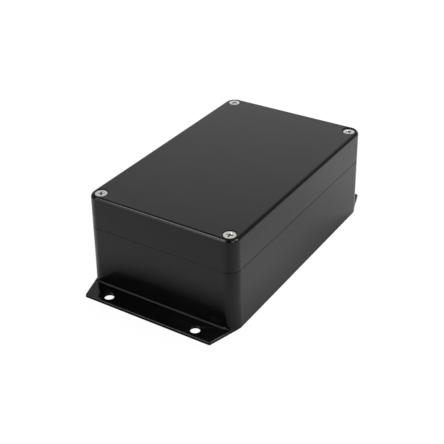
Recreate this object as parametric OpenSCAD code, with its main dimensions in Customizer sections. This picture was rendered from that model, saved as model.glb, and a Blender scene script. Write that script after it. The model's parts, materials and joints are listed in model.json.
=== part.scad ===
// Flanged die-cast aluminium enclosure: a base with two mounting flanges, a deep lid, its seal and its screws.
// The box stands on z = 0 with its centre over the origin, and its length lies along X.

/* [Box] */
// Length outside, at the seam between base and lid
body_l = 160; // [130:1:220]
// Width outside, at the seam
body_w = 100; // [80:1:160]
// Height overall
body_h = 60; // [54:1:90]
// Height of the base, up to the seam
base_h = 39.1; // [28:0.1:46]
// Thickness of the side walls
wall_t = 4; // [3.5:0.1:5]
// Thickness of the floor
floor_t = 3; // [2.6:0.1:6]
// Thickness of the lid's top
top_t = 3; // [2:0.1:5]
// Radius of the upright corners, at the seam
corner_r = 7.5; // [6:0.5:14]
// Radius of the lid's top edge
top_edge_r = 2.2; // [1:0.1:5]
// Radius of the base's bottom edge
bottom_edge_r = 1; // [0.5:0.1:3]
// Radius along the floor and under the lid's top, inside
inner_r = 1.3; // [0.5:0.1:1.6]
// Draft of the outer walls, which draw in upwards, in degrees
draft = 0.9; // [0:0.1:1]
// Gap that shows between base and lid
seam_gap = 0.2; // [0.1:0.05:0.6]
// Break of the two edges along the seam
seam_break = 0.1; // [0.1:0.05:0.8]

/* [Flanges] */
// Reach of each flange beyond the end wall
flange_reach = 15.4; // [12:0.1:24]
// Setback of a flange's sides from the round corners that they run into
flange_root_inset = 0.5; // [0.2:0.1:6]
// Setback of a flange's sides from the side walls, at its outer edge
flange_end_inset = 6.5; // [3:0.5:20]
// Thickness of a flange
flange_t = 1.8; // [1.6:0.1:4]
// Radius of the flange's outer corners
flange_corner_r = 1; // [0.8:0.1:8]
// Radius of the flange's top edges
flange_edge_r = 0.5; // [0.2:0.1:0.8]
// Radius in the corner between flange and wall
flange_fillet_r = 0.8; // [0.3:0.1:2]
// Distance of the mounting holes from the end wall
mount_reach = 9.5; // [6:0.5:14]
// Distance between the two mounting holes of a flange
mount_pitch = 60.5; // [30:0.5:70]
// Diameter of the mounting holes
mount_d = 5.8; // [4:0.1:7]
// Break of the mounting holes' edges
mount_break = 0.4; // [0.1:0.05:0.5]

/* [Seal] */
// Metal between the outer wall and the seal groove
lip_t = 1.2; // [1:0.1:1.5]
// Width of the seal groove in the lid
groove_w = 1.8; // [1.4:0.1:2]
// Height of the base's tongue over its rim
tongue_h = 1.6; // [1:0.1:3]
// Clearance on each side of the tongue in its groove
tongue_gap = 0.3; // [0.2:0.05:0.5]
// Thickness of the gasket
gasket_t = 1.9; // [1:0.1:3]
// Clearance on each side of the gasket in its groove
gasket_gap = 0.1; // [0.05:0.05:0.3]

/* [Lid screws] */
// Distance of the screws from the outer walls
screw_inset = 6.7; // [6.5:0.1:9]
// Outer diameter of the thread
thread_d = 4; // [3:0.5:5]
// Core diameter of the thread
core_d = 3.2; // [2.4:0.1:3.4]
// Length of thread in the base
thread_engage = 10; // [6:1:16]
// Free depth under the screws
tap_run = 2; // [1:0.5:5]
// Clearance around the thread in the lid
screw_gap = 0.25; // [0.1:0.05:0.5]
// Metal between a screw's clearance hole and the seal groove
post_wall = 1.75; // [1.2:0.05:3]
// Diameter of the screw heads
head_d = 7.5; // [6.5:0.1:8.5]
// Straight rim of the screw heads
head_rim = 0.3; // [0.1:0.05:0.6]
// Clearance between a screw's head and its seat, along the screw
seat_gap = 0.05; // [0.02:0.01:0.2]
// Depth of each head under the lid's top: left rear, left front, right front, right rear
head_depth = [0.3, 0.3, 0.9, 0.3]; // [0:0.1:1.2]
// Width of the cross recess over its wings
cross_w = 4.4; // [3:0.1:5]
// Thickness of the cross recess's wings
cross_t = 0.9; // [0.6:0.1:1.4]
// Depth of the cross recess
cross_depth = 2; // [1:0.1:2.4]

/* [Board bosses] */
// Distance of the bosses from the end walls
boss_inset_x = 20; // [16:1:40]
// Distance of the bosses from the side walls
boss_inset_y = 20; // [10:1:30]
// Diameter of the bosses
boss_d = 7; // [5:0.5:10]
// Height of the bosses over the floor
boss_h = 5; // [3:0.5:10]
// Diameter of the bosses' pilot holes
pilot_d = 2.5; // [1.5:0.1:3.5]

/* [Hidden] */
$fn = 96;
// Spare length that carries a cut clear of a face
cut = 1;
// Axes of the round upright corners
corner_x = body_l / 2 - corner_r;
corner_y = body_w / 2 - corner_r;
// Axes of the lid screws, in the order of head_depth
screw_x = body_l / 2 - screw_inset;
screw_y = body_w / 2 - screw_inset;
screw_axes = [[-screw_x, screw_y], [-screw_x, -screw_y], [screw_x, -screw_y], [screw_x, screw_y]];
// Straight side of a post between its round end and the turn into the wall, and the least radius there
post_side = 1;
least_turn = 0.5;
// Underside of the lid, top of the tongue and top of the groove
lid_z = base_h + seam_gap;
tongue_z = base_h + tongue_h;
groove_z = tongue_z + gasket_t;
// Seal groove, tongue and gasket, as distances from the outer wall
groove_out = lip_t;
groove_in = lip_t + groove_w;
// Clearance hole of a lid screw, its lower end and the bottom of its tapped hole
screw_hole_d = thread_d + 2 * screw_gap;
screw_end_z = base_h - thread_engage;
screw_l = body_h - min(head_depth) - screw_end_z;
tap_z = body_h - max(head_depth) - screw_l - tap_run;

// Radius of a screw post, and of its turn into the wall, at a distance inside the outer wall
function post_r(d) = screw_hole_d / 2 + post_wall + d - lip_t;
function turn_r(d) = max(screw_inset - d - post_side, least_turn);
// Inner radius, kept under the tightest turn of the walls
fillet_r = min(inner_r, 0.8 * turn_r(wall_t));
// Distance of the outer wall from the corner axis at a height
function wall_at(z) = corner_r - (z - base_h) * tan(draft);
// Centre of an edge radius that runs smoothly into the drafted wall
function edge_centre(z, r) = wall_at(z) - r / cos(draft);

// Carries a wall profile, drawn as distance from the corner axis and height, round the whole box
module round_box(z_low, z_high) {
    rotate([90, 0, 90])
        linear_extrude(2 * corner_x, center = true) {
            for (side = [0, 1])
                mirror([side, 0])
                    translate([corner_y, 0])
                        children();
            translate([-corner_y, z_low])
                square([2 * corner_y, z_high - z_low]);
        }
    for (end = [0, 180])
        rotate([0, 0, end])
            translate([corner_x, 0, 0])
                rotate([90, 0, 0])
                    linear_extrude(2 * corner_y, center = true)
                        children();
    at_corners()
        rotate_extrude(angle = 90)
            children();
}

// Places a shape at each corner axis, turned outwards
module at_corners() {
    for (end = [0, 180])
        rotate([0, 0, end]) {
            translate([corner_x, corner_y, 0])
                children();
            translate([-corner_x, corner_y, 0])
                rotate([0, 0, 90])
                    children();
        }
}

// Outline at a distance inside the outer wall, drawn in round the four screw posts
module inside(d) {
    difference() {
        square([body_l - 2 * d, body_w - 2 * d], center = true);
        at_posts()
            post_outline(post_r(d), turn_r(d), screw_inset - d);
    }
}

// Places a shape at each screw axis, turned outwards
module at_posts() {
    for (flip_x = [0, 1], flip_y = [0, 1])
        mirror([flip_x, 0, 0])
            mirror([0, flip_y, 0])
                translate([screw_x, screw_y, 0])
                    children();
}

// One screw post: round towards the box's centre, with a smooth turn into each wall
module post_outline(r, turn, reach) {
    circle(r);
    for (flip = [0, 1])
        mirror([flip, -flip]) {
            translate([-r, 0])
                square([r + reach + cut, reach + cut]);
            translate([-r - turn, reach - turn])
                difference() {
                    square([turn + cut, turn + cut]);
                    circle(turn);
                }
        }
}

// Carries a profile, drawn as distance from the wall and height, along the walls and round the posts
module along_inside(d) {
    r = post_r(d);
    turn = turn_r(d);
    post_l = screw_inset - d - turn;
    for (side = [0, 180])
        rotate([0, 0, side]) {
            translate([0, d - body_w / 2, 0])
                rotate([90, 0, 90])
                    linear_extrude(2 * (screw_x - r - turn), center = true)
                        children();
            translate([body_l / 2 - d, 0, 0])
                rotate([90, 0, 180])
                    linear_extrude(2 * (screw_y - r - turn), center = true)
                        children();
        }
    at_posts() {
        rotate([0, 0, 180])
            rotate_extrude(angle = 90)
                translate([r, 0])
                    children();
        for (flip = [0, 1])
            mirror([flip, -flip, 0]) {
                translate([-r, 0, 0])
                    rotate([90, 0, 180])
                        linear_extrude(post_l)
                            children();
                translate([-r - turn, post_l, 0])
                    rotate_extrude(angle = 90)
                        translate([turn, 0])
                            mirror([1, 0])
                                children();
            }
    }
}

// Section of a fillet in the corner at the origin, which runs a little way into both faces
module fillet_profile(r) {
    difference() {
        translate([-cut / 2, -cut / 2])
            square(r + cut / 2);
        translate([r, r])
            circle(r);
    }
}

// Ring between two distances inside the outer wall
module ring(d_out, d_in) {
    difference() {
        inside(d_out);
        inside(d_in);
    }
}

// Wall profile of the base, with a round bottom edge and a broken edge at the seam
module base_profile() {
    centre = edge_centre(bottom_edge_r, bottom_edge_r);
    translate([centre, bottom_edge_r])
        circle(bottom_edge_r);
    polygon([
        [0, 0],
        [centre, 0],
        [centre + bottom_edge_r * cos(draft), bottom_edge_r * (1 + sin(draft))],
        [wall_at(base_h - seam_break), base_h - seam_break],
        [wall_at(base_h) - seam_break, base_h],
        [0, base_h],
    ]);
}

// Wall profile of the lid, with a broken edge at the seam and a round top edge
module lid_profile() {
    centre = edge_centre(body_h - top_edge_r, top_edge_r);
    translate([centre, body_h - top_edge_r])
        circle(top_edge_r);
    polygon([
        [0, lid_z],
        [wall_at(lid_z) - seam_break, lid_z],
        [wall_at(lid_z + seam_break), lid_z + seam_break],
        [centre + top_edge_r * cos(draft), body_h - top_edge_r * (1 - sin(draft))],
        [centre, body_h],
        [0, body_h],
    ]);
}

// Outer end of a flange's side, and the distance at which the side passes, both from the box's corner axis
flange_end = [flange_reach + corner_r, corner_r - flange_end_inset];
flange_side_r = wall_at(flange_t) - flange_root_inset;
// Angle at which a flange's sides draw in
flange_taper = asin(flange_side_r / norm(flange_end)) - atan2(flange_end[1], flange_end[0]);
// Axes of the flange's outer corners
flange_x = body_l / 2 + flange_reach - flange_corner_r;
flange_y = body_w / 2 - flange_end_inset - flange_corner_r * tan(45 - flange_taper / 2);
// Length of a flange's side, from its outer corner back to its nearest place to the box's corner axis
flange_side_l = (flange_end[0] - flange_corner_r - (flange_side_r - flange_corner_r) * sin(flange_taper))
    / cos(flange_taper);

// Edge profile of a flange, drawn outwards from the axis of its corner radius
module flange_profile() {
    square([flange_corner_r, flange_t - flange_edge_r]);
    square([flange_corner_r - flange_edge_r, flange_t]);
    translate([flange_corner_r - flange_edge_r, flange_t - flange_edge_r])
        circle(flange_edge_r);
}

// One flange at the +X end, with its round edges and its corner against the wall filled
module flange() {
    difference() {
        union() {
            linear_extrude(flange_t)
                flange_core();
            translate([flange_x, 0, 0])
                rotate([90, 0, 0])
                    linear_extrude(2 * flange_y, center = true)
                        flange_profile();
            for (side = [0, 1])
                mirror([0, side, 0])
                    translate([flange_x, flange_y, 0]) {
                        rotate_extrude(angle = 90 - flange_taper)
                            flange_profile();
                        rotate([0, 0, 90 - flange_taper])
                            rotate([90, 0, 180])
                                linear_extrude(flange_side_l)
                                    mirror([1, 0])
                                        flange_profile();
                    }
            flange_fillet();
        }
        for (side = [-1, 1])
            translate([body_l / 2 + mount_reach, side * mount_pitch / 2, 0])
                mount_hole();
    }
}

// Flat of the flange, which laps a little into its edge profiles and into the box
module flange_core() {
    lap = (flange_corner_r - flange_edge_r) / 2;
    side_l = flange_side_l + cut / 2;
    out = [flange_x + lap, flange_y + lap * tan(45 - flange_taper / 2)];
    back = [
        flange_x - side_l * cos(flange_taper) + lap * sin(flange_taper),
        flange_y + side_l * sin(flange_taper) + lap * cos(flange_taper),
    ];
    polygon([out, back, [back[0], -back[1]], [out[0], -out[1]]]);
}

// Fillet along the foot of the end wall and round its corners, as far as the flange reaches
module flange_fillet() {
    intersection() {
        union() {
            translate([corner_x, 0, 0])
                rotate([90, 0, 0])
                    linear_extrude(2 * corner_y, center = true)
                        flange_fillet_profile();
            for (side = [0, 1])
                mirror([0, side, 0])
                    translate([corner_x, corner_y, 0])
                        rotate_extrude(angle = 90)
                            flange_fillet_profile();
        }
        linear_extrude(body_h)
            flange_core();
    }
}

// Section of the fillet between the flange's top and the drafted wall
module flange_fillet_profile() {
    translate([wall_at(flange_t), flange_t])
        fillet_profile(flange_fillet_r);
}

// A mounting hole with broken edges
module mount_hole() {
    translate([0, 0, -cut])
        cylinder(d = mount_d, h = flange_t + 2 * cut);
    for (face = [0, 1])
        translate([0, 0, face * flange_t])
            mirror([0, 0, face])
                translate([0, 0, -cut])
                    cylinder(r1 = mount_d / 2 + mount_break + cut, r2 = mount_d / 2, h = mount_break + cut);
}

// The lower case: one casting with its flanges, posts, tongue and board bosses
module base() {
    color("#2b2b2d")
        difference() {
            union() {
                difference() {
                    round_box(0, base_h)
                        base_profile();
                    translate([0, 0, floor_t])
                        linear_extrude(base_h)
                            inside(wall_t);
                }
                for (end = [0, 180])
                    rotate([0, 0, end])
                        flange();
                translate([0, 0, base_h])
                    linear_extrude(tongue_h)
                        ring(groove_out + tongue_gap, groove_in - tongue_gap);
                along_inside(wall_t)
                    translate([0, floor_t])
                        fillet_profile(fillet_r);
                for (x = [-1, 1], y = [-1, 1])
                    translate([x * (body_l / 2 - boss_inset_x), y * (body_w / 2 - boss_inset_y), floor_t])
                        board_boss();
            }
            for (axis = screw_axes)
                translate([axis[0], axis[1], tap_z])
                    cylinder(d = thread_d, h = base_h - tap_z + cut);
        }
}

// A boss for a board screw, with its pilot hole
module board_boss() {
    difference() {
        cylinder(d = boss_d, h = boss_h);
        cylinder(d = pilot_d, h = boss_h + cut);
    }
}

// The upper case: one casting with its skirt, posts, screw seats and seal groove
module lid() {
    color("#2b2b2d")
        difference() {
            round_box(lid_z, body_h)
                lid_profile();
            difference() {
                translate([0, 0, lid_z - cut])
                    linear_extrude(body_h - top_t - lid_z + cut)
                        inside(wall_t);
                along_inside(wall_t)
                    translate([0, body_h - top_t])
                        mirror([0, 1])
                            fillet_profile(fillet_r);
            }
            translate([0, 0, lid_z - cut])
                linear_extrude(groove_z - lid_z + cut)
                    ring(groove_out, groove_in);
            for (i = [0 : len(screw_axes) - 1])
                translate([screw_axes[i][0], screw_axes[i][1], body_h - head_depth[i] - head_rim - seat_gap])
                    screw_seat(head_depth[i] + head_rim + seat_gap + cut);
        }
}

// Clearance hole and countersink, from the level where the seat is as wide as the head
module screw_seat(rise) {
    translate([0, 0, -body_h])
        cylinder(d = screw_hole_d, h = body_h + rise);
    cone_h = (head_d - screw_hole_d) / 2;
    translate([0, 0, -cone_h])
        cylinder(r1 = screw_hole_d / 2, r2 = head_d / 2 + rise, h = cone_h + rise);
}

// The seal: a rubber ring of even width that lies in the lid's groove on the base's tongue
module gasket() {
    color("#3a3a3a")
        translate([0, 0, tongue_z])
            linear_extrude(gasket_t)
                ring(groove_out + gasket_gap, groove_in - gasket_gap);
}

// The four lid screws
module lid_screws() {
    color("silver")
        for (i = [0 : len(screw_axes) - 1])
            translate([screw_axes[i][0], screw_axes[i][1], body_h - head_depth[i]])
                lid_screw();
}

// One countersunk screw, hanging from the top of its head; the shank is drawn at the thread's core
module lid_screw() {
    cone_h = (head_d - core_d) / 2;
    difference() {
        rotate_extrude()
            polygon([
                [0, 0],
                [head_d / 2, 0],
                [head_d / 2, -head_rim],
                [core_d / 2, -head_rim - cone_h],
                [core_d / 2, -screw_l],
                [0, -screw_l],
            ]);
        for (turn = [0, 90])
            rotate([0, 0, turn])
                cross_wing();
    }
}

// One pair of wings of the cross recess, which narrows towards its bottom
module cross_wing() {
    rotate([90, 0, 0])
        linear_extrude(cross_t, center = true)
            polygon([
                [-cross_w / 2, cut],
                [-cross_w / 2, 0],
                [-cross_t / 2, -cross_depth],
                [cross_t / 2, -cross_depth],
                [cross_w / 2, 0],
                [cross_w / 2, cut],
            ]);
}

base();
lid();
gasket();
lid_screws();
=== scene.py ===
"""Looks of a flanged die-cast aluminium enclosure: black powder coat, rubber seal, steel lid screws."""
import json
import math

import bpy
from mathutils import Matrix, Vector

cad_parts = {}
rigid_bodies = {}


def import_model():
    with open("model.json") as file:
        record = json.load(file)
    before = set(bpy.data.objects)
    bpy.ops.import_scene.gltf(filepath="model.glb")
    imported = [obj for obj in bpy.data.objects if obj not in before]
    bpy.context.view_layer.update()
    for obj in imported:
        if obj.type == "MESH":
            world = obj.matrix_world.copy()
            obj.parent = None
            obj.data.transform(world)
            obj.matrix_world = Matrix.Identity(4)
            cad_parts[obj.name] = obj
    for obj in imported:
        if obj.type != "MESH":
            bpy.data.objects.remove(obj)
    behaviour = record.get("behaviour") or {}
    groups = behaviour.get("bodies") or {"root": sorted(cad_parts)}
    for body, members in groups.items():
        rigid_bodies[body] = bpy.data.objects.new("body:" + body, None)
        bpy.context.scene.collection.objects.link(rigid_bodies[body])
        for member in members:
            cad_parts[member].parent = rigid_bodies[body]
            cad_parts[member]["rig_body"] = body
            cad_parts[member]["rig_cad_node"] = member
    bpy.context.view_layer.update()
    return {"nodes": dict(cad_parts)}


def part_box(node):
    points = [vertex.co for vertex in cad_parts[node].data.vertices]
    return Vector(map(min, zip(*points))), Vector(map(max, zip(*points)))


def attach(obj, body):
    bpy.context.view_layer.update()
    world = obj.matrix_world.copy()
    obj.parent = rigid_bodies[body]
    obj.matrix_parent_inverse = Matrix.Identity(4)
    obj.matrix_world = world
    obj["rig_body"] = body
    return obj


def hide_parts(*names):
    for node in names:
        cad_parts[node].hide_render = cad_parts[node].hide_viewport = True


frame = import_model()

# The lower case is one aluminium die-casting with its two mounting flanges, four corner posts and a
# tongue along its rim. It is powder coated black inside and out, to a smooth satin. The holes in its
# posts are tapped after coating, so their threads are bare metal.
MM = 0.001
COAT_DARK = (0.0026, 0.0026, 0.0027, 1)
COAT_PALE = (0.0050, 0.0050, 0.0052, 1)
COAT_IOR = 1.4
COAT_ROUGHNESS = 0.12
DRIFT_SIZE = 18 * MM
DRIFT_SHARE = 0.6
DRIFT_HEIGHT = 0.1 * MM
PEEL_SIZE = 1.3 * MM
PEEL_HEIGHT = 0.0014 * MM
GRAIN_SIZE = 0.22 * MM
GRAIN_ON_PEEL = 0.3
# What is added to the coat's roughness, or by how much it swings.
ROOT_DULL = 0.45
WALL_DULL = 0.07
BARE_DULL = 0.15
DRIFT_SWING = 0.06
GRAIN_SWING = 0.05
# Where a flange's top meets the end wall, and how far the dull line there reaches before it fades.
WALL_FOOT = 80.6 * MM
FLANGE_TOP = 1.8 * MM
ROOT_LINE = (0.5 * MM, 0.8 * MM)
BARE_ALUMINIUM = (0.60, 0.61, 0.62, 1)
TAPPED_R = 2 * MM
BARE_EDGE = (TAPPED_R + 0.03 * MM, TAPPED_R + 0.08 * MM)
THREAD_PITCH = 0.7 * MM
THREAD_HEIGHT = 0.2 * MM
SCREW_HEAD_R = 3.75 * MM
SCREW_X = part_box("lid_screws")[1].x - SCREW_HEAD_R
SCREW_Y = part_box("lid_screws")[1].y - SCREW_HEAD_R
SHARP_ANGLE = math.radians(32)
MERGE_DISTANCE = 0.002 * MM


class Socket:
    """One output in a node tree. Arithmetic on it adds Math nodes, and node() adds any other node."""

    def __init__(self, tree, output=None):
        self.tree = tree
        self.output = output

    def node(self, kind, settings=(), inputs=(), output=0):
        """Adds a node, gives it its settings, then values or links for its sockets. Returns an output."""
        made = self.tree.nodes.new(kind)
        for name, value in dict(settings).items():
            setattr(made, name, value)
        for name, value in dict(inputs).items():
            if isinstance(value, Socket):
                self.tree.links.new(value.output, made.inputs[name])
            else:
                made.inputs[name].default_value = value
        return Socket(self.tree, made.outputs[output])

    def math(self, operation, *others):
        """A Math node with this socket as its first value."""
        return self.node("ShaderNodeMath", {"operation": operation}, dict(enumerate((self, *others))))

    def __add__(self, other):
        return self.math("ADD", other)

    def __radd__(self, other):
        return self.math("ADD", other)

    def __sub__(self, other):
        return self.math("SUBTRACT", other)

    def __rsub__(self, other):
        return self * -1 + other

    def __mul__(self, other):
        return self.math("MULTIPLY", other)

    def __rmul__(self, other):
        return self.math("MULTIPLY", other)

    def __truediv__(self, other):
        return self.math("DIVIDE", other)

    def __pow__(self, other):
        return self.math("POWER", other)

    def __abs__(self):
        return self.math("ABSOLUTE")

    def axis(self, name):
        """One of a place's coordinates."""
        return self.node("ShaderNodeSeparateXYZ", (), {"Vector": self}, output=name)

    def vector(self, operation, other):
        """The number that a Vector Math node gives for this place or direction and another."""
        return self.node(
            "ShaderNodeVectorMath", {"operation": operation}, {0: self, 1: other}, output="Value"
        )

    def step(self, low, high):
        """0 below low, 1 above high, smooth between."""
        return self.node(
            "ShaderNodeMapRange",
            {"interpolation_type": "SMOOTHSTEP"},
            {"Value": self, "From Min": low, "From Max": high},
        )

    def noise(self, size, detail):
        """Noise with features of that size, where this socket is the place."""
        return self.node("ShaderNodeTexNoise", (), {"Vector": self, "Scale": 1 / size, "Detail": detail})

    def swing(self, amount):
        """A noise as a swing to both sides of 0, by up to half that amount."""
        return (self - 0.5) * amount

    def zigzag(self):
        """A wave of straight lines: 0 at whole numbers and 0.5 halfway between them."""
        return self.math("PINGPONG", 0.5)

    def mix(self, first, second):
        """The first colour where this socket is 0 and the second where it is 1."""
        return self.node(
            "ShaderNodeMix", {"data_type": "RGBA"}, {"Factor": self, 6: first, 7: second}, output=2
        )

    def bump(self):
        """The surface's normal, tilted by this socket as a height in metres."""
        return self.node("ShaderNodeBump", (), {"Strength": 1, "Distance": 1, "Height": self})


def new_material(name, **constants):
    """A material, its Principled shader and the place on the piece that it colours."""
    material = bpy.data.materials.new(name)
    material.use_nodes = True
    shader = material.node_tree.nodes["Principled BSDF"]
    for socket, value in constants.items():
        shader.inputs[socket.replace("_", " ")].default_value = value
    place = Socket(material.node_tree).node("ShaderNodeTexCoord", output="Object")
    return material, shader, place


def feed(shader, **sockets):
    """Links sockets to a shader's inputs."""
    for name, socket in sockets.items():
        socket.tree.links.new(socket.output, shader.inputs[name.replace("_", " ")])


def screw_radius(place):
    """Distance from the nearest screw axis: the four stand at like places in the box's quarters."""
    lengthwise = abs(place.axis("X")) - SCREW_X
    crosswise = abs(place.axis("Y")) - SCREW_Y
    return (lengthwise * lengthwise + crosswise * crosswise) ** 0.5


def flange_root(place):
    """1 in the inner corner where a flange leaves the wall, where powder lands thin and dries dull."""
    outwards = abs(abs(place.axis("X")) - WALL_FOOT)
    upwards = abs(place.axis("Z") - FLANGE_TOP)
    return 1 - (outwards + upwards).step(*ROOT_LINE)


def black_coat():
    """Satin powder coat with a fine orange peel and a slight sway, a little glossier on the flanges.

    The tapped holes are bare metal with a thread's turns.
    """
    material, shader, place = new_material("black_coat", IOR=COAT_IOR)
    drift = place.noise(DRIFT_SIZE, detail=3)
    peel = place.noise(PEEL_SIZE, detail=2)
    grain = place.noise(GRAIN_SIZE, detail=1)
    bare = 1 - screw_radius(place).step(*BARE_EDGE)
    turns = (place.axis("Z") / THREAD_PITCH).zigzag()
    walls = place.axis("Z").step(FLANGE_TOP, FLANGE_TOP + MM)
    coat_tone = (drift * DRIFT_SHARE + grain * (1 - DRIFT_SHARE)).mix(COAT_DARK, COAT_PALE)
    dull = flange_root(place) * ROOT_DULL + walls * WALL_DULL + bare * BARE_DULL
    skin = (peel + grain * GRAIN_ON_PEEL) * PEEL_HEIGHT + drift * DRIFT_HEIGHT
    feed(
        shader,
        Base_Color=bare.mix(coat_tone, BARE_ALUMINIUM),
        Metallic=bare,
        Roughness=COAT_ROUGHNESS + dull + drift.swing(DRIFT_SWING) + grain.swing(GRAIN_SWING),
        Normal=(skin + bare * turns * (THREAD_HEIGHT * 2)).bump(),
    )
    return material


def pick(piece):
    """Selects one object alone and makes it the one that operators work on."""
    bpy.ops.object.select_all(action="DESELECT")
    piece.select_set(True)
    bpy.context.view_layer.objects.active = piece


def finish_with(piece, kind, **settings):
    """Adds a modifier with these settings to a piece and applies it."""
    pick(piece)
    bpy.ops.object.modifier_add(type=kind)
    modifier = piece.modifiers[-1]
    for name, value in settings.items():
        setattr(modifier, name, value)
    bpy.ops.object.modifier_apply(modifier=modifier.name)


def smooth(piece):
    """Shades round edges smoothly and keeps flat faces flat."""
    pick(piece)
    bpy.ops.object.shade_smooth_by_angle(angle=SHARP_ANGLE)
    finish_with(piece, "WEIGHTED_NORMAL", keep_sharp=True)


def named_copy(source, name):
    """A copy of an object with a mesh of its own."""
    pick(source)
    bpy.ops.object.duplicate()
    piece = bpy.context.object
    piece.name = name
    piece.data.name = name
    return piece


def merged_copy(node, name):
    """A copy of a CAD node with its loose triangles joined."""
    piece = named_copy(frame["nodes"][node], name)
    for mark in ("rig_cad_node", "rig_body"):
        del piece[mark]
    bpy.ops.object.mode_set(mode="EDIT")
    bpy.ops.mesh.select_all(action="SELECT")
    bpy.ops.mesh.remove_doubles(threshold=MERGE_DISTANCE)
    bpy.ops.object.mode_set(mode="OBJECT")
    return piece


def dress(piece, material, body, node):
    """Gives a piece its material, the body that it moves with and the CAD node that it stands for."""
    piece.data.materials.clear()
    piece.data.materials.append(material)
    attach(piece, body)
    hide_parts(node)


coat = black_coat()
base_casting = merged_copy("base", "base_casting")
smooth(base_casting)
dress(base_casting, coat, "base", "base")

# The upper case is the second die-casting, a deep lid in the same coat. Four countersunk screws hold it
# down, and a groove in its rim takes the seal and the base's tongue.
lid_casting = merged_copy("lid", "lid_casting")
smooth(lid_casting)
dress(lid_casting, coat, "lid", "lid")

# The seal is a moulded ring of black rubber with rounded edges. It is pressed into the lid's groove, and
# the base's tongue bears on it when the lid is screwed down.
RUBBER_DARK = (0.010, 0.010, 0.010, 1)
RUBBER_PALE = (0.022, 0.022, 0.021, 1)
RUBBER_IOR = 1.5
RUBBER_ROUGHNESS = 0.62
RUBBER_SWING = 0.2
BLOOM_SIZE = 4 * MM
RUBBER_GRAIN_SIZE = 0.15 * MM
RUBBER_GRAIN_HEIGHT = 0.004 * MM
SEAL_ROUND = 0.4 * MM
EDGE_ANGLE = math.radians(40)


def seal_rubber():
    """Matt rubber with a fine bloom."""
    material, shader, place = new_material("seal_rubber", IOR=RUBBER_IOR)
    bloom = place.noise(BLOOM_SIZE, detail=3)
    grain = place.noise(RUBBER_GRAIN_SIZE, detail=1)
    feed(
        shader,
        Base_Color=bloom.mix(RUBBER_DARK, RUBBER_PALE),
        Roughness=RUBBER_ROUGHNESS + grain.swing(RUBBER_SWING),
        Normal=(grain * RUBBER_GRAIN_HEIGHT).bump(),
    )
    return material


def round_edges(piece, width, segments):
    """Rounds a piece's sharp edges."""
    finish_with(
        piece, "BEVEL", width=width, segments=segments, limit_method="ANGLE", angle_limit=EDGE_ANGLE
    )


seal = merged_copy("gasket", "seal_ring")
round_edges(seal, SEAL_ROUND, segments=3)
smooth(seal)
dress(seal, seal_rubber(), "lid", "gasket")

# The lid screws are four countersunk steel screws with a cross recess, bright and plain. They sit in the
# lid's countersinks, one a little deeper than the rest, and their rolled threads hold in the base's posts.
STEEL_PALE = (0.87, 0.87, 0.86, 1)
STEEL_DARK = (0.68, 0.68, 0.67, 1)
STEEL_ROUGHNESS = 0.26
STAIN_SIZE = 1.5 * MM
STAIN_SHARE = 0.7
STAIN_SWING = 0.12
RING_PITCH = 0.16 * MM
RING_SHARE = 0.6
RING_HEIGHT = 0.002 * MM
# Painted shade: the cross recess and the head's rim, where shade falls, are coloured dark and made duller.
PAINTED_SHADE_DARK = (0.10, 0.10, 0.10, 1)
PAINTED_SHADE_DULL = 0.25
RECESS_SHADE_DEPTH = (0.04 * MM, 0.5 * MM)
RIM_SHADE = (SCREW_HEAD_R - 0.3 * MM, SCREW_HEAD_R - 0.05 * MM)
SCREW_LENGTH = 30.6 * MM
CORE_R = 1.6 * MM
# Radius and depth below the head's top, from the flat of the head round its rim and down to the tip.
SCREW_PROFILE = (
    (3.50 * MM, 0),
    (3.63 * MM, 0.03 * MM),
    (3.72 * MM, 0.12 * MM),
    (SCREW_HEAD_R, 0.25 * MM),
    (SCREW_HEAD_R, 0.30 * MM),
    (CORE_R, 2.45 * MM),
    (CORE_R, SCREW_LENGTH - 0.9 * MM),
    (1.1 * MM, SCREW_LENGTH),
)
HEAD_SIDES = 64
HEAD_ROUND = 0.06 * MM
CROSS_W = 4.4 * MM
CROSS_T = 0.9 * MM
CROSS_DEPTH = 2 * MM
CROSS_TAPER = 0.7
# The sides of the box's middle on which a screw stands, along X and Y, and its cross's turn in degrees.
CROSS_TURNS = {(-1, 1): 33, (-1, -1): 8, (1, -1): 50, (1, 1): 78}
THREAD_START = 3.4 * MM
THREAD_END = 29.4 * MM
CREST_R = 1.95 * MM
TOOTH_HEIGHT = 0.45 * MM
TOOTH_WIDTH = 0.56 * MM
CREST_SHARE = 0.2
STEPS_PER_TURN = 24


def head_top(x_side, y_side):
    """Height of the head in one of the box's quarters."""
    return max(
        point.co.z
        for point in frame["nodes"]["lid_screws"].data.vertices
        if point.co.x * x_side > 0 and point.co.y * y_side > 0
    )


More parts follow.
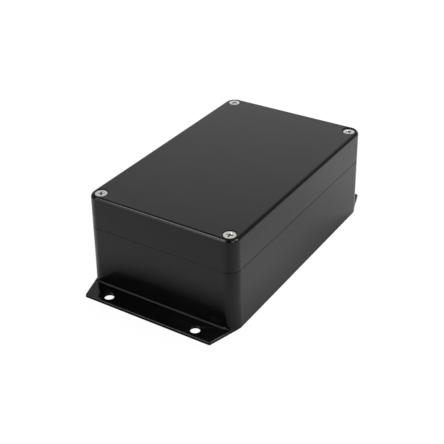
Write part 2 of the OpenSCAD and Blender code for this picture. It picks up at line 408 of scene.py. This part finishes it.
def screw_steel():
    """Bright steel with the fine rings of the tool that faced the heads.

    Painted shade makes the recess and the rim dark, and their roughness is raised there.
    """
    material, shader, place = new_material("screw_steel", Metallic=1.0)
    radius = screw_radius(place)
    rings = (radius / RING_PITCH).zigzag()
    stain = place.noise(STAIN_SIZE, detail=2)
    far_right = place.axis("X").step(-MM, MM) * (1 - place.axis("Y").step(-MM, MM))
    depth = head_top(1, 1) - far_right * (head_top(1, 1) - head_top(1, -1)) - place.axis("Z")
    in_cross = 1 - radius.step(CROSS_W / 2, CROSS_W / 2 + 0.2 * MM)
    below_cross = depth.step(CROSS_DEPTH, CROSS_DEPTH + 0.1 * MM)
    # Painted shade: where the recess and the rim lie in shadow, the colour is painted dark.
    recess = depth.step(*RECESS_SHADE_DEPTH) * in_cross * (1 - below_cross)
    painted_shade = recess.math("MAXIMUM", radius.step(*RIM_SHADE))
    bright = (stain * STAIN_SHARE + rings * RING_SHARE).mix(STEEL_DARK, STEEL_PALE)
    feed(
        shader,
        Base_Color=painted_shade.mix(bright, PAINTED_SHADE_DARK),
        Roughness=STEEL_ROUGHNESS + stain.swing(STAIN_SWING) + painted_shade * PAINTED_SHADE_DULL,
        Normal=((rings + stain) * RING_HEIGHT).bump(),
    )
    return material


def cut(piece, tool):
    """Takes a tool's volume out of a piece."""
    finish_with(piece, "BOOLEAN", operation="DIFFERENCE", object=tool)


def select(piece, kind, wanted):
    """In edit mode, selects only the faces or points of a piece for which wanted is true."""
    bpy.ops.object.mode_set(mode="EDIT")
    bpy.ops.mesh.select_mode(type=kind)
    bpy.ops.mesh.select_all(action="DESELECT")
    bpy.ops.object.mode_set(mode="OBJECT")
    for element in piece.data.polygons if kind == "FACE" else piece.data.vertices:
        element.select = wanted(element)
    bpy.ops.object.mode_set(mode="EDIT")


def turned_blank():
    """The screw's head, core and tip, with the middle of the head's top at the origin."""
    bpy.ops.object.select_all(action="DESELECT")
    bpy.ops.mesh.primitive_circle_add(vertices=HEAD_SIDES, radius=SCREW_PROFILE[0][0], fill_type="NGON")
    blank = bpy.context.object
    bpy.ops.object.mode_set(mode="EDIT")
    for (radius, depth), (next_radius, next_depth) in zip(SCREW_PROFILE, SCREW_PROFILE[1:]):
        bpy.ops.mesh.extrude_region_move(TRANSFORM_OT_translate={"value": (0, 0, depth - next_depth)})
        bpy.ops.transform.resize(value=(next_radius / radius, next_radius / radius, 1))
    bpy.ops.mesh.select_all(action="SELECT")
    bpy.ops.mesh.normals_make_consistent(inside=False)
    bpy.ops.object.mode_set(mode="OBJECT")
    return blank


def cross_wing():
    """The punch that presses one wing pair of the recess: a blade that narrows towards its tip."""
    bpy.ops.object.select_all(action="DESELECT")
    bpy.ops.mesh.primitive_cube_add(size=1, location=(0, 0, -CROSS_DEPTH / 2))
    wing = bpy.context.object
    wing.scale = (CROSS_W, CROSS_T, CROSS_DEPTH)
    bpy.ops.object.transform_apply(location=True, rotation=True, scale=True)
    select(wing, "FACE", lambda face: face.normal.z < -0.5)
    bpy.ops.transform.resize(value=(CROSS_T / CROSS_W, CROSS_TAPER, 1))
    select(wing, "FACE", lambda face: face.normal.z > 0.5)
    bpy.ops.mesh.extrude_region_move(TRANSFORM_OT_translate={"value": (0, 0, CROSS_DEPTH)})
    bpy.ops.object.mode_set(mode="OBJECT")
    return wing


def rolled_thread():
    """The thread's ridge: a flat-topped tooth swept up a helix, with its ends filled."""
    bpy.ops.object.select_all(action="DESELECT")
    bpy.ops.mesh.primitive_plane_add(size=1, rotation=(math.pi / 2, 0, 0))
    ridge = bpy.context.object
    tooth_middle = CREST_R - TOOTH_HEIGHT / 2
    ridge.scale = (TOOTH_HEIGHT, TOOTH_WIDTH, 1)
    ridge.location = (tooth_middle, 0, -THREAD_END)
    bpy.ops.object.transform_apply(location=True, rotation=True, scale=True)
    select(ridge, "VERT", lambda point: point.co.x > tooth_middle)
    bpy.ops.transform.resize(value=(1, 1, CREST_SHARE))
    bpy.ops.mesh.select_all(action="SELECT")
    bpy.ops.mesh.delete(type="ONLY_FACE")
    bpy.ops.object.mode_set(mode="OBJECT")
    finish_with(
        ridge,
        "SCREW",
        axis="Z",
        screw_offset=THREAD_PITCH,
        iterations=round((THREAD_END - THREAD_START) / THREAD_PITCH),
        steps=STEPS_PER_TURN,
        render_steps=STEPS_PER_TURN,
    )
    bpy.ops.object.mode_set(mode="EDIT")
    bpy.ops.mesh.select_all(action="SELECT")
    bpy.ops.mesh.fill_holes(sides=0)
    bpy.ops.mesh.select_all(action="SELECT")
    bpy.ops.mesh.normals_make_consistent(inside=False)
    bpy.ops.object.mode_set(mode="OBJECT")
    return ridge


def lid_screw():
    """One finished screw, with the middle of its head's top at the origin."""
    screw = turned_blank()
    wing = cross_wing()
    cut(screw, wing)
    wing.rotation_euler.z = math.pi / 2
    cut(screw, wing)
    bpy.data.objects.remove(wing)
    round_edges(screw, HEAD_ROUND, segments=2)
    ridge = rolled_thread()
    pick(screw)
    ridge.select_set(True)
    bpy.ops.object.join()
    smooth(screw)
    return screw


steel = screw_steel()
pattern = lid_screw()
for (x_side, y_side), turn in CROSS_TURNS.items():
    end = "far" if x_side > 0 else "near"
    side = "left" if y_side > 0 else "right"
    screw = named_copy(pattern, f"lid_screw_{end}_{side}")
    screw.location = (x_side * SCREW_X, y_side * SCREW_Y, head_top(x_side, y_side))
    screw.rotation_euler.z = math.radians(turn)
    bpy.ops.object.transform_apply(location=True, rotation=True, scale=True)
    dress(screw, steel, "lid", "lid_screws")
bpy.data.objects.remove(pattern)

# The floor is a sheet of white paper. Two soft-edged grey patches of painted shadow lie on it, off the
# near corner and along the long side, and dim what the coat mirrors there. The camera sees it white all
# over, with a faint shadow.
FLOOR_SIZE = 6
FLOOR_HEIGHT = -0.05 * MM
PAPER_WHITE = (0.92, 0.92, 0.92, 1)
PAINTED_SHADOW_GREY = (0.74, 0.74, 0.74, 1)
# A painted shadow patch's middle, and the radii at which it starts to fade and is gone.
SHADOW_PATCHES = (
    ((-0.150, -0.080, 0), 0.015, 0.070),
    ((0.055, -0.062, 0), 0.010, 0.085),
)
GLOW_SHARE = 0.96
GLOW_STRENGTH = 1.02


def rays(place, *kinds):
    """1 where a ray is of one of the named kinds."""
    found = None
    for kind in kinds:
        ray = place.node("ShaderNodeLightPath", output=f"Is {kind} Ray")
        found = ray if found is None else found.math("MAXIMUM", ray)
    return found


def white_paper():
    """White paper with its patches of painted shadow. For the camera the painted shadow is gone and the
    paper glows white.
    """
    material, shader, place = new_material("white_paper")
    nodes = material.node_tree.nodes
    nodes.remove(shader)
    in_view = rays(place, "Camera")
    unshadowed_paper = 1
    # Painted shadow: the patches darken the paper that the coat mirrors, and are hidden from the camera.
    for middle, whole, gone in SHADOW_PATCHES:
        unshadowed_paper = place.vector("DISTANCE", middle).step(whole, gone) * unshadowed_paper
    painted_shadow = (1 - unshadowed_paper) * (1 - in_view)
    paper = place.node("ShaderNodeBsdfDiffuse", (), {"Color": painted_shadow.mix(PAPER_WHITE, PAINTED_SHADOW_GREY)})
    glow = place.node("ShaderNodeEmission", (), {"Strength": GLOW_STRENGTH})
    shown = place.node("ShaderNodeMixShader", (), {"Fac": in_view * GLOW_SHARE, 1: paper, 2: glow})
    feed(nodes["Material Output"], Surface=shown)
    material.cycles.emission_sampling = "NONE"
    return material


bpy.ops.object.select_all(action="DESELECT")
bpy.ops.mesh.primitive_plane_add(size=FLOOR_SIZE, location=(0, 0, FLOOR_HEIGHT))
floor = bpy.context.object
floor.name = "floor"
floor.data.materials.append(white_paper())

# The light is that of a small studio: a pale backdrop behind the box, a bright wall on the left, a dim
# room and darkness on the camera's side. Soft boxes and a reflector show in the near end, the long side
# and the lid's edges, and one soft box above lights the floor.
WHITE = (1, 1, 1, 1)
PLAIN_LIGHT = 0.08
ROOM_LEVEL = 0.22
DARKNESS = 0.7
BACKDROP_LEVEL = 0.80
LEFT_WALL_LEVEL = 1.8
# The direction of the middle of each, and how nearly along it the soft edge starts and ends.
BACKDROP_SIDE = (0.91, 0.32, 0.24)
BACKDROP_EDGE = (0.66, 1.0)
LEFT_WALL_SIDE = (-0.86, 0.50, 0.05)
LEFT_WALL_EDGE = (0.80, 0.98)
DARK_SIDE = (-0.72, -0.62, 0.30)
DARK_EDGE = (0.60, 0.90)
# Name, direction, distance, width, height and brightness of each lamp. One kind shows only in what the
# coat mirrors, and the other only lights matt surfaces.
SOFT_BOXES = (
    ("left_soft_box", (-0.56, 0.32, 0.77), 0.8, 0.50, 0.24, 6.4, "mirrored"),
    ("left_reflector", (-0.91, 0.13, 0.37), 0.8, 0.50, 0.22, 2.6, "mirrored"),
    ("right_soft_box", (-0.42, -0.78, 0.46), 0.8, 0.28, 0.42, 3.4, "mirrored"),
    ("edge_soft_box", (0.12, -0.745, 0.60), 0.8, 0.22, 0.46, 7.0, "mirrored"),
    ("rear_soft_box", (0.365, -0.03, 0.93), 1.5, 1.1, 0.45, 14.2, "matt"),
)
scene = bpy.context.scene
scene.view_settings.view_transform = "Standard"
world = bpy.data.worlds.new("studio")
world.use_nodes = True
world.cycles.sampling_method = "NONE"
scene.world = world
view = Socket(world.node_tree).node("ShaderNodeTexCoord", output="Generated")
backdrop = view.vector("DOT_PRODUCT", BACKDROP_SIDE).step(*BACKDROP_EDGE)
left_wall = view.vector("DOT_PRODUCT", LEFT_WALL_SIDE).step(*LEFT_WALL_EDGE)
dark_side = view.vector("DOT_PRODUCT", DARK_SIDE).step(*DARK_EDGE)
room = ROOM_LEVEL + (BACKDROP_LEVEL - ROOM_LEVEL) * backdrop
studio = (room + (LEFT_WALL_LEVEL - ROOM_LEVEL) * left_wall) * (1 - DARKNESS * dark_side)
in_gloss = rays(view, "Glossy", "Transmission")
in_view = rays(view, "Camera")
strength = in_gloss * studio + (1 - in_gloss) * PLAIN_LIGHT
background = world.node_tree.nodes["Background"]
background.inputs["Color"].default_value = WHITE
feed(background, Strength=in_view + (1 - in_view) * strength)

for name, direction, distance, width, height, brightness, kind in SOFT_BOXES:
    towards = Vector(direction).normalized()
    bpy.ops.object.light_add(
        type="AREA",
        location=towards * distance,
        rotation=towards.to_track_quat("Z", "Y").to_euler(),
    )
    lamp = bpy.context.object
    lamp.name = name
    lamp.data.shape = "RECTANGLE"
    lamp.data.size = width
    lamp.data.size_y = height
    lamp.data.energy = brightness * math.pi * width * height
    lamp.visible_glossy = kind == "mirrored"
    lamp.visible_diffuse = kind == "matt"

# The camera stands a little under 0.6 m from the middle of the box, off its near corner, and looks down
# on it. Its place, angles and focal length were fitted to the photograph's outline.
PHOTO_WIDTH = 444
FOCAL_PIXELS = 922.153
SENSOR_WIDTH = 36
AZIMUTH = math.radians(-57.5552)
ELEVATION = math.radians(31.5207)
ROLL = math.radians(-0.7262)
TARGET = Vector((0, 0, 30 * MM))
DISTANCE = 577.680 * MM
OFFSET_RIGHT = -6.6191 * MM
OFFSET_UP = -12.3633 * MM
back = Vector((
    math.sin(AZIMUTH) * math.cos(ELEVATION),
    -math.cos(AZIMUTH) * math.cos(ELEVATION),
    math.sin(ELEVATION),
))
level = Vector((math.cos(AZIMUTH), math.sin(AZIMUTH), 0))
upright = back.cross(level)
right = level * math.cos(ROLL) + upright * math.sin(ROLL)
up = upright * math.cos(ROLL) - level * math.sin(ROLL)
bpy.ops.object.camera_add(
    location=TARGET + back * DISTANCE + right * OFFSET_RIGHT + up * OFFSET_UP,
    rotation=Matrix((right, up, back)).transposed().to_euler(),
)
camera = bpy.context.object
camera.data.sensor_width = SENSOR_WIDTH
camera.data.lens = FOCAL_PIXELS / PHOTO_WIDTH * SENSOR_WIDTH
scene.camera = camera
